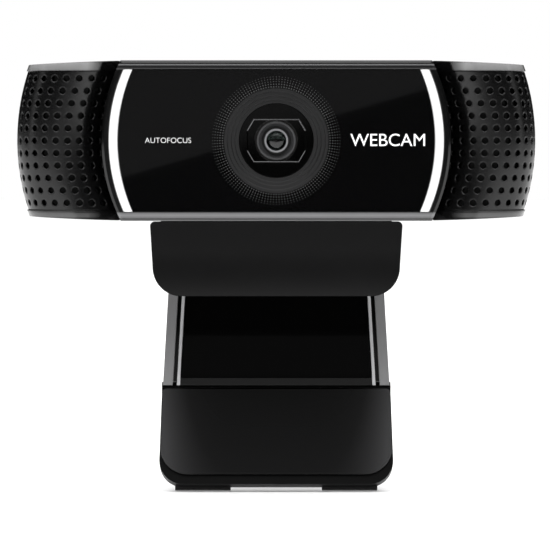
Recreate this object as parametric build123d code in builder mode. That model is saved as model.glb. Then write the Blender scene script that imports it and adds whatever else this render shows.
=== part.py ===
from build123d import *

import math
import os

# Webcam on a folding monitor clip.
#
# Frame: +Z up, +X to the camera's left hand (the viewer's right), and the camera looks along -Y.
# The origin is the mouth of the tripod thread, on the underside of the clip's top plate.
# Millimetres throughout.

os.makedirs("parts", exist_ok=True)

# ---------------------------------------------------------------- driving dimensions
# Camera head
head_bottom_z = 4.8         # head's underside above the clip plate's underside
head_height = 28.8          # centre block, top to bottom
head_tip_drop = 0.75        # how much lower the top is at the pods' tips
front_y = -15.0             # foremost plane of the front frame
head_depth = 24.0           # front frame to the back's crown
back_bow_radius = 115.0     # plan radius of the back cover
back_taper = 5.2            # how much each of top and bottom falls in towards the back
taper_start = 6.5           # distance behind the front where that taper begins
wall = 1.4                  # shell wall
gap = 0.1                   # seating clearance between fixed parts

# Microphone pods at each end
pod_centre_x = 38.85
pod_centre_y = -4.1
pod_radius = 8.4            # plan radius of the grille
pod_lip = 0.25              # how far the caps stand proud of the grille
pod_sweep_radius = 31.85    # front-view radius of the pod's curved centre line
grille_wall = 1.0
grille_height = 25.2        # length of the opening between the caps
hole_diameter = 1.16
hole_rows = 11
hole_row_pitch = 2.24
hole_columns_inner = 4      # columns from the pod's crest towards the lens
hole_columns_outer = 6      # columns from the crest round to the side
hole_column_pitch = 2.15
cloth_thickness = 0.35

# Front frame, window and light pipes
frame_side_radius = 32.0    # front-view radius of the frame's two bowed sides
frame_half_width = 31.35    # at mid height
frame_depth = 7.0
pipe_outer_half = 30.1      # light pipe's outer edge at mid height
pipe_inner_half = 28.5      # light pipe's inner edge at mid height
window_height = 25.5
window_thickness = 1.3
window_recess = 0.25        # window face behind the frame's front edge
frame_edge_chamfer = 0.45
shadow_gap = 0.4            # groove between front frame and back cover

# Lens group
ring_outer_radius = 9.35
ring_inner_radius = 6.75
ring_step_radii = (8.75, 8.0, 7.35)
ring_step_drop = 0.22
shroud_recess = 0.9         # shroud face behind the window face
shroud_depth = 2.2
eye_half_width = 5.15
eye_half_height = 3.73
eye_chamfer_x = 1.15
eye_chamfer_z = 1.95
barrel_radius = 3.5
barrel_length = 5.4
barrel_clearance = 0.7      # barrel front behind the shroud face at full travel
lens_bezel_radius = 2.15
glass_radius = 1.75
inner_glass_radius = 1.6
focus_stroke = 0.3          # autofocus travel
focus_box_size = 10.4
focus_box_depth = 4.6
focus_bore_clearance = 0.35

# Electronics
board_thickness = 1.0
sensor_board_size = 12.5
sensor_size = 6.2
sensor_thickness = 0.9
main_board_width = 46.0
main_board_height = 15.0
screw_shank_radius = 0.8
screw_head_radius = 1.5
screw_head_height = 1.1
boss_radius = 2.1
shell_screw_x = 26.2
shell_screw_z = 6.0         # above and below the lens axis
screw_seat_y = 1.0
post_front_y = -12.4

# Tilt hinge between head and clip
tilt_y = 1.5
tilt_z = 4.4
tilt_pin_radius = 1.0
running_gap = 0.05          # radial clearance of a pin that turns in its bore
knuckle_radius = 2.0
knuckle_x = 13.0            # centre of each hinge set
lug_width = 3.6
ear_width = 2.2
washer_thickness = 0.4

# Clip plate with its front lip
plate_width = 42.0
plate_thickness = 2.2
plate_back_y = 7.6
lip_width_top = 45.8
lip_width_bottom = 44.2
lip_front_y = -9.6
lip_thickness = 2.0
lip_head_gap = 0.25         # between the lip's top and the head above it
lip_bottom_z = -8.9
lip_corner_radius = 5.2
lip_flare = 1.5             # how far the lip's lower edge swings forward
liner_thickness = 0.8
liner_margin = 1.5          # liner's side edges inside the plate's
lip_pad_thickness = 0.8
lip_pad_half_width = 17.0

# Tripod socket, 1/4 inch - 20 UNC, modelled at the tapping size
thread_bore_radius = 2.55
thread_length = 4.3
insert_radius = 3.9
insert_flange_radius = 4.9
insert_flange = 0.8
socket_wall = 1.0

# Arm
arm_pivot_y = 10.2
arm_pivot_z = 0.6
arm_pin_radius = 0.9
arm_knuckle_radius = 2.1
arm_length = 29.55          # pivot to pivot
arm_lean = 16.0             # degrees forward of straight down, as it stands
arm_width_top = 39.0
arm_width_bottom = 41.9
arm_front = 2.4             # front face ahead of the pivots' plane
arm_back = 1.3              # back face behind the pivots' plane
rail_width = 1.8
groove_width = 0.7
rim_width = 0.6
groove_depth = 0.9
panel_recess = 0.7
panel_thickness = 1.0
arm_head_clearance = 2.7    # radius round the upper pivot that the arm's blade keeps clear
foot_clearance_radius = 2.75
arm_barrel_inner = 7.6      # the arm's two upper barrels run from here ...
arm_barrel_outer = 14.6     # ... to here, either side of the middle
hinge_side_gap = 0.2
lug_x = 10.0                # the arm's two lower lugs
foot_lug_width = 3.6
foot_lug_radius = 1.5
foot_pin_radius = 0.8

# Foot
foot_length = 17.05         # pivot to the foot's lower edge
foot_lean = 17.0            # degrees forward of straight down, as it stands
foot_width_top = 42.2
foot_width_bottom = 43.2
foot_back = 1.6
foot_barrel_radius = 2.45
foot_corner_radius = 4.4
cover_thickness = 0.75
cover_rise = 0.84           # cover's top edge above the pivot
cover_corner_radius = 6.6
cover_margin_side = 0.15
cover_margin_bottom = 1.7
pad_width = 10.2
pad_pitch = 27.0
pad_height = 3.0
pad_thickness = 1.0
pad_stand_out = 0.45

# Cable inlet in the back cover
inlet_radius = 2.6
inlet_x = -12.0
inlet_drop = 3.0            # cable inlet below the lens axis
cable_bore_radius = 1.9

# ---------------------------------------------------------------- derived places
half_height = head_height / 2
head_centre_z = head_bottom_z + half_height
inlet_z = head_centre_z - inlet_drop
back_y = front_y + head_depth
window_y = front_y + window_recess
window_back_y = window_y + window_thickness
shroud_y = window_y + shroud_recess
barrel_front_y = shroud_y + focus_stroke + barrel_clearance
barrel_back_y = barrel_front_y + barrel_length
focus_box_front_y = shroud_y + shroud_depth
focus_box_back_y = focus_box_front_y + focus_box_depth
sensor_board_y = focus_box_back_y + sensor_thickness + 0.9
main_board_y = sensor_board_y + board_thickness + 1.6
main_board_z = head_centre_z + 0.6
pod_axis_x = pod_centre_x - pod_sweep_radius
pod_crest_y = pod_centre_y - pod_radius
frame_back_y = front_y + frame_depth


def front_plane(y):
    """A sketch plane facing the viewer at depth y, centred on the lens axis."""
    return Plane(origin=(0, y, head_centre_z), x_dir=(1, 0, 0), z_dir=(0, -1, 0))


def save(piece, name):
    """Labels a finished piece and writes it as one STEP file."""
    piece.label = name
    export_step(piece, f"parts/{name}.step")


# ---------------------------------------------------------------- head outlines
def front_outline(inset):
    """Front-view outline of the whole head: level over the centre, falling to the tips."""
    knee_x = frame_half_width - 2.5
    far_x = pod_centre_x + 12
    tip_x = pod_centre_x + pod_radius
    slope = head_tip_drop / (tip_x - knee_x)
    far_z = half_height - slope * (far_x - knee_x)
    top = [(0, half_height), (knee_x, half_height), (far_x, far_z)]
    with BuildSketch(front_plane(back_y + 5)) as outline:
        with BuildLine():
            Polyline(*top, (far_x, -far_z), (knee_x, -half_height), (0, -half_height), close=True)
        make_face()
        mirror(about=Plane.YZ)
        if inset:
            offset(amount=-inset, kind=Kind.INTERSECTION, mode=Mode.REPLACE)
    return outline.sketch


def side_outline(inset):
    """Side-view outline: a flat-topped front that falls in towards a rounded back."""
    start_y = front_y + taper_start
    end_z = half_height - back_taper
    side_plane = Plane(origin=(60, 0, head_centre_z), x_dir=(0, 1, 0), z_dir=(1, 0, 0))
    with BuildSketch(side_plane) as outline:
        with BuildLine():
            front_line = Line((front_y, -half_height), (front_y, half_height))
            roof = Line(front_line @ 1, (start_y, half_height))
            crown = RadiusArc(roof @ 1, (back_y, end_z), 42)
            Line(crown @ 1, (back_y, -end_z))
            keel = RadiusArc((back_y, -end_z), (start_y, -half_height), 42)
            Line(keel @ 1, front_line @ 0)
        make_face()
        fillet(outline.vertices().sort_by(Axis.X)[-2:], radius=3.5)
        if inset:
            offset(amount=-inset, mode=Mode.REPLACE)
    return outline.sketch


def pod_solid(radius, rear_y, x_from):
    """One right-hand pod: a D-shaped plan turned about the axis that bends its centre line."""
    turn_axis = Axis((pod_axis_x, 0, head_centre_z), (0, 1, 0))
    with BuildPart() as pod:
        with BuildSketch(Plane.XY.offset(head_centre_z)):
            with Locations((pod_centre_x, pod_centre_y)):
                Circle(radius)
            with Locations(((x_from + pod_centre_x) / 2, (pod_centre_y + rear_y) / 2)):
                Rectangle(pod_centre_x - x_from, rear_y - pod_centre_y)
        revolve(axis=turn_axis)
        with Locations((x_from, 0, head_centre_z)):
            Box(40, 80, 60, align=(Align.MIN, Align.CENTER, Align.CENTER), mode=Mode.INTERSECT)
    return pod.part


def head_form(inset):
    """The head behind the front frame, with both pods, drawn in by inset all over."""
    core_half = frame_half_width - 2
    with BuildPart() as form:
        with Locations((0, frame_back_y, head_centre_z)):
            Box(2 * core_half, 3 * head_depth, head_height, align=(Align.CENTER, Align.MIN, Align.CENTER))
        add(pod_solid(pod_radius + pod_lip - inset, back_y, core_half - 1))
        mirror(pod_solid(pod_radius + pod_lip - inset, back_y, core_half - 1), about=Plane.YZ)
        extrude(front_outline(inset), amount=2 * head_depth, mode=Mode.INTERSECT)
        extrude(side_outline(inset), amount=-4 * core_half, mode=Mode.INTERSECT)
        with BuildSketch(Plane.XY) as bow:
            with Locations((0, back_y - inset - back_bow_radius)):
                Circle(back_bow_radius)
        extrude(amount=3 * head_height, mode=Mode.INTERSECT)
    return form.part


def bowed_region(half_width, half_tall):
    """A flat-topped region with two bowed sides, to be added to a sketch that faces the viewer."""
    fall = frame_side_radius - math.sqrt(frame_side_radius**2 - half_tall**2)
    corner_x = half_width - fall
    with BuildSketch(mode=Mode.PRIVATE) as region:
        with BuildLine():
            Line((-corner_x, half_tall), (corner_x, half_tall))
            ThreePointArc((corner_x, half_tall), (half_width, 0), (corner_x, -half_tall))
            Line((corner_x, -half_tall), (-corner_x, -half_tall))
            ThreePointArc((-corner_x, -half_tall), (-half_width, 0), (-corner_x, half_tall))
        make_face()
    return region.sketch


def back_turned(profile_points):
    """A solid turned about the lens axis from a list of (radius, y) points."""
    with BuildPart() as turned:
        with BuildSketch(Plane.XY.offset(head_centre_z)):
            with BuildLine():
                Polyline(*profile_points, close=True)
            make_face()
        revolve(axis=Axis((0, 0, head_centre_z), (0, 1, 0)))
    return turned.part


def across(radius, x_low, x_high, y, z):
    """A round bar lying along X."""
    with BuildPart() as bar:
        with BuildSketch(Plane(origin=(x_low, y, z), x_dir=(0, 1, 0), z_dir=(1, 0, 0))):
            Circle(radius)
        extrude(amount=x_high - x_low)
    return bar.part


def block(x_range, y_range, z_range):
    """A plain box between two values on each axis."""
    with BuildPart() as made:
        with Locations((x_range[0], y_range[0], z_range[0])):
            Box(
                x_range[1] - x_range[0],
                y_range[1] - y_range[0],
                z_range[1] - z_range[0],
                align=(Align.MIN, Align.MIN, Align.MIN),
            )
    return made.part


def both_sides(half):
    """A right-hand piece and its mirror image as one group of separate solids."""
    return Compound(children=[*half.solids(), *mirror(half, about=Plane.YZ).solids()])


# ---------------------------------------------------------------- head: back cover
lug_slot_half = lug_width / 2 + 0.2
opening_from_x = shell_screw_x + boss_radius + 0.1
opening_back_y = pod_centre_y + 2.0
bracket_post_x = 6.0
bracket_bar_z = 10.2
board_post_x = 20.5
board_post_z = 5.4
mic_board_y = pod_crest_y + grille_wall + cloth_thickness + 4.8
mic_board_thickness = 0.8
inner_back_y = back_y - wall

with BuildPart() as back_cover:
    add(head_form(0))
    add(head_form(wall), mode=Mode.SUBTRACT)
    # Posts that take the four long screws from behind.
    for post_z in (-shell_screw_z, shell_screw_z):
        for post_x in (-shell_screw_x, shell_screw_x):
            with BuildSketch(front_plane(frame_back_y)) as post:
                with Locations((post_x, post_z)):
                    Circle(boss_radius)
            extrude(amount=-(inner_back_y - frame_back_y - 2.0))
    # Posts behind the main board and behind the two microphone boards.
    with BuildSketch(front_plane(main_board_y + board_thickness)):
        with Locations((0, main_board_z - head_centre_z)):
            with GridLocations(2 * board_post_x, 2 * board_post_z, 2, 2):
                Circle(1.5)
    extrude(amount=-(inner_back_y - main_board_y - board_thickness - 1.0))
    with BuildSketch(front_plane(mic_board_y + mic_board_thickness)):
        for side in (-1, 1):
            with Locations((side * (pod_centre_x - 1.0), 0)):
                with GridLocations(1, 10.0, 1, 2):
                    Circle(1.3)
    extrude(amount=-6.5)
    # Posts on the floor that carry the tilt bracket.
    for side in (-1, 1):
        with BuildSketch(Plane.XY.offset(bracket_bar_z)):
            with Locations((side * bracket_post_x, tilt_y)):
                Circle(2.0)
        extrude(amount=-3.0)
        with BuildSketch(Plane.XY.offset(bracket_bar_z)):
            with Locations((side * bracket_post_x, tilt_y)):
                Circle(screw_shank_radius)
        extrude(amount=-2.4, mode=Mode.SUBTRACT)
    with GridLocations(2 * shell_screw_x, 2 * shell_screw_z, 2, 2) as places:
        hole_places = [place.position for place in places]
    with BuildSketch(front_plane(screw_seat_y)):
        with Locations(*[(p.X, p.Y) for p in hole_places]):
            Circle(screw_head_radius + 0.2)
    extrude(amount=-back_y, mode=Mode.SUBTRACT)
    with BuildSketch(front_plane(front_y)):
        with Locations(*[(p.X, p.Y) for p in hole_places]):
            Circle(screw_shank_radius + 0.1)
    extrude(amount=-head_depth, mode=Mode.SUBTRACT)
    # Room for the front frame, then openings for the two grilles, between the caps.
    with BuildSketch(front_plane(front_y)):
        add(bowed_region(frame_half_width + 0.15, half_height + 1))
    extrude(amount=-frame_depth, mode=Mode.SUBTRACT)
    for side in (-1, 1):
        with Locations((side * opening_from_x, opening_back_y, head_centre_z)):
            Box(
                2 * pod_radius + 10,
                2 * pod_radius,
                grille_height,
                align=(Align.MIN if side > 0 else Align.MAX, Align.MAX, Align.CENTER),
                mode=Mode.SUBTRACT,
            )
    # Slots for the tilt lugs and the hole for the cable inlet.
    for side in (-1, 1):
        with Locations((side * knuckle_x, tilt_y, tilt_z)):
            Box(2 * lug_slot_half, 2 * knuckle_radius + 1.0, 12, mode=Mode.SUBTRACT)
    with BuildSketch(front_plane(back_y + 2)):
        with Locations((inlet_x, inlet_z - head_centre_z)):
            Circle(inlet_radius)
    extrude(amount=8, mode=Mode.SUBTRACT)
save(back_cover.part, "back_cover")

# ---------------------------------------------------------------- head: front frame
window_half_height = window_height / 2
led_x = pipe_inner_half + 0.8
led_front_y = window_back_y + 2.0
led_slot_height = 6.0
with BuildPart() as front_frame:
    frame_reach = frame_depth - shadow_gap
    with BuildSketch(front_plane(front_y)):
        add(bowed_region(frame_half_width, half_height))
    extrude(amount=-frame_reach)
    chamfer(front_frame.faces().sort_by(Axis.Y)[0].outer_wire().edges(), length=frame_edge_chamfer)
    with BuildSketch(front_plane(front_y)):
        add(bowed_region(pipe_outer_half + gap, window_half_height + gap))
    extrude(amount=-frame_depth, mode=Mode.SUBTRACT)
    # Spigot that plugs into the back cover.
    spigot_half = shell_screw_x - boss_radius - 0.6
    spigot_tall = half_height - wall - 0.3
    with BuildSketch(front_plane(window_back_y + 0.6)):
        Rectangle(2 * spigot_half, 2 * spigot_tall)
        Rectangle(2 * spigot_half, 2 * (spigot_tall - 1.1), mode=Mode.SUBTRACT)
    extrude(amount=-(frame_back_y + 1.5 - window_back_y - 0.6))
    # Ledge behind the window, and four screw posts hung from the rails.
    with BuildSketch(front_plane(window_back_y)):
        add(bowed_region(frame_half_width - 0.6, half_height - 0.6))
        add(bowed_region(pipe_inner_half - 1.2, window_half_height - 1.0), mode=Mode.SUBTRACT)
        for side in (-1, 1):
            with Locations((side * led_x, 0)):
                Rectangle(1.3, led_slot_height, mode=Mode.SUBTRACT)
    extrude(amount=-1.2)
    # Shelf behind each indicator's small board.
    for side in (-1, 1):
        with Locations((side * (led_x + 0.2), led_front_y + 1.3, head_centre_z)):
            Box(2.2, 1.0, 9.0, align=(Align.CENTER, Align.MIN, Align.CENTER))
    for side in (-1, 1):
        for level in (-1, 1):
            with BuildSketch(front_plane(post_front_y)):
                with Locations((side * shell_screw_x, level * shell_screw_z)):
                    Circle(boss_radius)
                web_tall = half_height - 1.0 - shell_screw_z
                with Locations((side * shell_screw_x, level * (shell_screw_z + web_tall / 2))):
                    Rectangle(1.6, web_tall)
            extrude(amount=-(frame_back_y - post_front_y))
    with BuildSketch(front_plane(post_front_y + 0.8)):
        with Locations(*[(p.X, p.Y) for p in hole_places]):
            Circle(screw_shank_radius)
    extrude(amount=-head_depth, mode=Mode.SUBTRACT)
save(front_frame.part, "front_frame")

# ---------------------------------------------------------------- head: window and light pipes
with BuildPart() as front_window:
    with BuildSketch(front_plane(window_y)):
        add(bowed_region(pipe_inner_half - gap, window_half_height))
        Circle(ring_outer_radius + gap, mode=Mode.SUBTRACT)
    extrude(amount=-window_thickness)
save(front_window.part, "front_window")

with BuildPart() as light_pipe:
    with BuildSketch(front_plane(window_y - 0.1)):
        add(bowed_region(pipe_outer_half, window_half_height))
        add(bowed_region(pipe_inner_half, window_half_height + 1), mode=Mode.SUBTRACT)
        with Locations((-30, 0)):
            Rectangle(60, 40, mode=Mode.SUBTRACT)
    extrude(amount=-(window_thickness + 0.1))
    with Locations((led_x, window_back_y - 0.2, head_centre_z)):
        Box(1.1, 2.2, 5.0, align=(Align.CENTER, Align.MIN, Align.CENTER))
    fillet(light_pipe.faces().sort_by(Axis.Y)[0].edges(), radius=0.2)
save(light_pipe.part, "light_pipe_right")
save(mirror(light_pipe.part, about=Plane.YZ), "light_pipe_left")

with BuildPart() as indicator_led:
    with Locations((led_x, led_front_y, head_centre_z)):
        Box(1.0, 0.7, 2.0, align=(Align.CENTER, Align.MIN, Align.CENTER))
save(both_sides(indicator_led.part), "indicator_leds")

with BuildPart() as led_board:
    with Locations((led_x, led_front_y + 0.7, head_centre_z)):
        Box(1.2, 0.6, 8.0, align=(Align.CENTER, Align.MIN, Align.CENTER))
save(both_sides(led_board.part), "led_boards")

# ---------------------------------------------------------------- head: grilles
def pod_ring(outer, inner, angle_from, angle_to):
    """A band round the right pod between two radii, from one plan angle to another."""
    with BuildPart() as band:
        with BuildSketch(Plane.XY.offset(head_centre_z)):
            with BuildLine():
                ends = []
                for radius in (outer, inner):
                    points = []
                    for angle in (angle_from, (angle_from + angle_to) / 2, angle_to):
                        turn = math.radians(angle)
                        points.append(
                            (
                                pod_centre_x + radius * math.sin(turn),
                                pod_centre_y - radius * math.cos(turn),
                            )
                        )
                    ThreePointArc(*points)
                    ends.append((points[0], points[2]))
                Line(ends[0][0], ends[1][0])
                Line(ends[0][1], ends[1][1])
            make_face()
        revolve(axis=Axis((pod_axis_x, 0, head_centre_z), (0, 1, 0)))
        with Locations((20, pod_centre_y, head_centre_z)):
            Box(60, 60, grille_height, align=(Align.MIN, Align.CENTER, Align.CENTER), mode=Mode.INTERSECT)
    return band.part


grille_inner_angle = -60
grille_outer_angle = 101


def hole_directions():
    """Middle of the pod's section and outward direction for every hole in the right grille."""
    column_step = math.degrees(hole_column_pitch / pod_radius)
    for row in range(hole_rows):
        height = (row - (hole_rows - 1) / 2) * hole_row_pitch
        for column in range(-hole_columns_inner, hole_columns_outer + 1):
            turn = math.radians((column + 0.4) * column_step)
            reach = pod_sweep_radius + pod_radius * math.sin(turn)
            swing = math.asin(height / reach)
            base = Vector(
                pod_axis_x + pod_sweep_radius * math.cos(swing),
                pod_centre_y,
                head_centre_z + pod_sweep_radius * math.sin(swing),
            )
            outward = Vector(
                math.sin(turn) * math.cos(swing), -math.cos(turn), math.sin(turn) * math.sin(swing)
            )
            yield base, outward


hole_cutters = []
for base, outward in hole_directions():
    start = base + outward * (pod_radius - grille_wall - 0.4)
    with BuildPart() as drill:
        with BuildSketch(Plane(origin=start, z_dir=outward)):
            Circle(hole_diameter / 2)
        extrude(amount=grille_wall + 0.8)
    hole_cutters.append(drill.part)

with BuildPart() as grille:
    add(pod_ring(pod_radius, pod_radius - grille_wall, grille_inner_angle, grille_outer_angle))
    with BuildSketch(front_plane(front_y)):
        add(bowed_region(frame_half_width + 0.15, half_height + 2))
    extrude(amount=-frame_depth, mode=Mode.SUBTRACT)
    add(hole_cutters, mode=Mode.SUBTRACT)
save(grille.part, "grille_right")
save(mirror(grille.part, about=Plane.YZ), "grille_left")

cloth_outer = pod_radius - grille_wall
cloth = pod_ring(cloth_outer, cloth_outer - cloth_thickness, grille_inner_angle + 3, grille_outer_angle - 3)
save(cloth, "grille_cloth_right")
save(mirror(cloth, about=Plane.YZ), "grille_cloth_left")

# ---------------------------------------------------------------- head: lens group
ring_profile = [(ring_outer_radius, window_y - 0.05)]
step_y = window_y - 0.05
for step_radius in ring_step_radii:
    ring_profile += [(step_radius + 0.15, step_y), (step_radius, step_y + ring_step_drop)]
    step_y += ring_step_drop
ring_profile += [
    (ring_inner_radius, step_y),
    (ring_inner_radius, window_back_y + 1.0),
    (ring_outer_radius + 1.0, window_back_y + 1.0),
    (ring_outer_radius + 1.0, window_back_y),
    (ring_outer_radius, window_back_y),
]
save(back_turned(ring_profile), "lens_ring")

eye_outline = [
    (eye_half_width - eye_chamfer_x, eye_half_height),
    (eye_half_width, eye_half_height - eye_chamfer_z),
    (eye_half_width, -eye_half_height + eye_chamfer_z),
    (eye_half_width - eye_chamfer_x, -eye_half_height),
]
with BuildPart() as lens_shroud:
    with BuildSketch(front_plane(shroud_y)):
        Circle(ring_inner_radius - gap / 2)
    extrude(amount=-shroud_depth)
    with BuildSketch(front_plane(window_back_y + 1.0)):
        Circle(ring_inner_radius + 1.4)
    extrude(amount=-(focus_box_front_y - window_back_y - 1.0))
    with BuildSketch(front_plane(shroud_y)) as eye:
        with BuildLine():
            Polyline(*eye_outline, *[(-x, y) for x, y in reversed(eye_outline)], close=True)
        make_face()
    extrude(amount=-0.9, mode=Mode.SUBTRACT)
    chamfer(lens_shroud.faces().sort_by(Axis.Y)[0].inner_wires()[0].edges(), length=0.18)
    with BuildSketch(front_plane(shroud_y)):
        Circle(barrel_radius + focus_bore_clearance)
    extrude(amount=-shroud_depth, mode=Mode.SUBTRACT)
save(lens_shroud.part, "lens_shroud")

barrel_profile = [
    (lens_bezel_radius, barrel_front_y - 0.35),
    (lens_bezel_radius + 0.05, barrel_front_y + 0.55),
    (lens_bezel_radius + 0.4, barrel_front_y + 0.55),
    (barrel_radius - 0.3, barrel_front_y - 0.1),
    (barrel_radius, barrel_front_y - 0.1),
    (barrel_radius, barrel_back_y),
    (inner_glass_radius - 0.4, barrel_back_y),
    (inner_glass_radius - 0.4, barrel_front_y + 3.9),
    (inner_glass_radius, barrel_front_y + 3.9),
    (inner_glass_radius, barrel_front_y + 1.6),
    (glass_radius - 0.35, barrel_front_y + 1.6),
    (glass_radius - 0.35, barrel_front_y + 1.1),
    (glass_radius, barrel_front_y + 1.1),
    (glass_radius, barrel_front_y - 0.35),
]
save(back_turned(barrel_profile), "lens_barrel")

with BuildPart() as front_lens:
    with BuildSketch(Plane.XY.offset(head_centre_z)):
        with BuildLine():
            ThreePointArc(
                (0, barrel_front_y - 0.1),
                (glass_radius * 0.6, barrel_front_y + 0.02),
                (glass_radius - 0.02, barrel_front_y + 0.35),
            )
            Polyline(
                (glass_radius - 0.02, barrel_front_y + 0.35),
                (glass_radius - 0.02, barrel_front_y + 1.08),
                (0, barrel_front_y + 1.08),
                (0, barrel_front_y - 0.1),
            )
        make_face()
    revolve(axis=Axis((0, 0, head_centre_z), (0, 1, 0)))
save(front_lens.part, "front_lens")

with BuildPart() as inner_lenses:
    for near, far in ((1.75, 2.35), (2.6, 3.1), (3.3, 3.85)):
        with BuildSketch(front_plane(barrel_front_y + near)):
            Circle(inner_glass_radius - 0.02)
        extrude(amount=-(far - near))
save(inner_lenses.part, "inner_lenses")

# ---------------------------------------------------------------- head: autofocus module
magnet_outer_radius = barrel_radius + 1.3
with BuildPart() as focus_housing:
    with BuildSketch(front_plane(focus_box_front_y)):
        RectangleRounded(focus_box_size, focus_box_size, 0.8)
    extrude(amount=-focus_box_depth)
    with BuildSketch(front_plane(focus_box_front_y)):
        Circle(magnet_outer_radius)
    extrude(amount=-focus_box_depth, mode=Mode.SUBTRACT)
save(focus_housing.part, "focus_housing")

coil_inner = barrel_radius
coil_outer = barrel_radius + 0.6
coil_y = focus_box_front_y + 0.9
save(
    back_turned(
        [(coil_inner, coil_y), (coil_outer, coil_y), (coil_outer, coil_y + 1.8), (coil_inner, coil_y + 1.8)]
    ),
    "focus_coil",
)

with BuildPart() as focus_magnets:
    with BuildSketch(front_plane(focus_box_front_y + 0.7)):
        with PolarLocations(barrel_radius + 1.05, 4, start_angle=45):
            Rectangle(0.5, 3.0)
    extrude(amount=-2.6)
    with BuildSketch(front_plane(focus_box_front_y)):
        Circle(magnet_outer_radius)
    extrude(amount=-focus_box_depth, mode=Mode.INTERSECT)
save(focus_magnets.part, "focus_magnets")

with BuildPart() as ir_filter:
    with BuildSketch(front_plane(focus_box_back_y + 0.4)):
        Rectangle(5.2, 5.2)
    extrude(amount=-0.3)
save(ir_filter.part, "ir_filter")

with BuildPart() as filter_carrier:
    with BuildSketch(front_plane(focus_box_back_y)):
        RectangleRounded(focus_box_size, focus_box_size, 0.8)
        Rectangle(sensor_size + 0.6, sensor_size + 0.6, mode=Mode.SUBTRACT)
    extrude(amount=-(sensor_board_y - focus_box_back_y))
    with BuildSketch(front_plane(focus_box_back_y - 0.2)):
        Circle(magnet_outer_radius - 0.02)
        Rectangle(4.4, 4.4, mode=Mode.SUBTRACT)
    extrude(amount=-0.6)
save(filter_carrier.part, "filter_carrier")

with BuildPart() as image_sensor:
    with BuildSketch(front_plane(sensor_board_y - sensor_thickness)):
        RectangleRounded(sensor_size, sensor_size, 0.2)
    extrude(amount=-sensor_thickness)
save(image_sensor.part, "image_sensor")

with BuildPart() as sensor_board:
    with BuildSketch(front_plane(sensor_board_y)):
        RectangleRounded(sensor_board_size, sensor_board_size, 1.0)
    extrude(amount=-board_thickness)
save(sensor_board.part, "sensor_board")

# ---------------------------------------------------------------- head: main board and what is on it
main_plane_y = main_board_y + board_thickness


def on_board(x, z, width, tall, thick, behind=True):
    """A component on the main board's back, or on its front."""
    y_low = main_plane_y if behind else main_board_y - thick
    centre_z = main_board_z + z
    x_span = (x - width / 2, x + width / 2)
    return block(x_span, (y_low, y_low + thick), (centre_z - tall / 2, centre_z + tall / 2))


with BuildPart() as main_board:
    with Locations((0, main_board_y, main_board_z)):
        board_align = (Align.CENTER, Align.MIN, Align.CENTER)
        Box(main_board_width, board_thickness, main_board_height, align=board_align)
    fillet(main_board.edges().filter_by(Axis.Y), radius=1.2)
save(main_board.part, "main_board")

board_to_board_thick = main_board_y - sensor_board_y - board_thickness
save(on_board(0, 0, 8.0, 3.0, board_to_board_thick, behind=False), "board_connector")
save(on_board(-1.0, 1.0, 9.0, 9.0, 1.2), "video_processor")
chips = [on_board(8.5, 2.4, 6.0, 4.6, 0.9), on_board(8.5, -3.6, 4.0, 3.4, 0.9)]
save(Compound(children=chips), "memory_chips")
save(on_board(-17.0, 0.5, 8.0, 5.0, 3.4), "cable_header")

with BuildPart() as shield_can:
    with Locations((15.2, main_plane_y, main_board_z)):
        Box(6.0, 2.2, 9.0, align=(Align.CENTER, Align.MIN, Align.CENTER))
    front_face = shield_can.faces().sort_by(Axis.Y)[0]
    offset(amount=-0.25, openings=front_face)
save(shield_can.part, "shield_can")

small_parts = []
for column in range(5):
    small_parts.append(on_board(-9.0 + 4.2 * column, -6.3, 1.6, 0.8, 0.5))
for column in range(4):
    small_parts.append(on_board(-14.0 + 3.0 * column, 6.4, 1.6, 0.8, 0.5))
save(Compound(children=small_parts), "capacitors")

# ---------------------------------------------------------------- head: microphones in the pods
mic_front_y = mic_board_y - 4.0
with BuildPart() as mic_boot:
    with BuildSketch(front_plane(mic_front_y)):
        with Locations((pod_centre_x, 0)):
            Circle(2.9)
    extrude(amount=-4.0)
    with BuildSketch(front_plane(mic_front_y)):
        with Locations((pod_centre_x, 0)):
            Circle(2.2)
    extrude(amount=-3.0, mode=Mode.SUBTRACT)
save(mic_boot.part, "microphone_boot_right")
save(mirror(mic_boot.part, about=Plane.YZ), "microphone_boot_left")

with BuildPart() as microphone:
    with BuildSketch(front_plane(mic_front_y + 0.5)):
        with Locations((pod_centre_x, 0)):
            Circle(2.2)
    extrude(amount=-2.5)
    with BuildSketch(front_plane(mic_front_y + 0.5)):
        with Locations((pod_centre_x, 0)):
            Circle(0.5)
    extrude(amount=-0.6, mode=Mode.SUBTRACT)
save(microphone.part, "microphone_right")
save(mirror(microphone.part, about=Plane.YZ), "microphone_left")

with BuildPart() as mic_board:
    with Locations((pod_centre_x - 1.0, mic_board_y, head_centre_z)):
        Box(9.0, mic_board_thickness, 14.0, align=(Align.CENTER, Align.MIN, Align.CENTER))
save(both_sides(mic_board.part), "microphone_boards")

# ---------------------------------------------------------------- head: screws and cable inlet
with BuildPart() as shell_screws:
    for place in hole_places:
        with BuildSketch(front_plane(screw_seat_y)):
            with Locations((place.X, place.Y)):
                Circle(screw_head_radius)
        extrude(amount=-screw_head_height)
        with BuildSketch(front_plane(screw_seat_y)):
            with Locations((place.X, place.Y)):
                Circle(screw_shank_radius)
        extrude(amount=screw_seat_y - post_front_y - 1.6)
        with BuildSketch(front_plane(screw_seat_y + screw_head_height)):
            with Locations((place.X, place.Y)):
                Rectangle(1.8, 0.4)
                Rectangle(0.4, 1.8)
        extrude(amount=0.5, mode=Mode.SUBTRACT)
save(shell_screws.part, "shell_screws")

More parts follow.
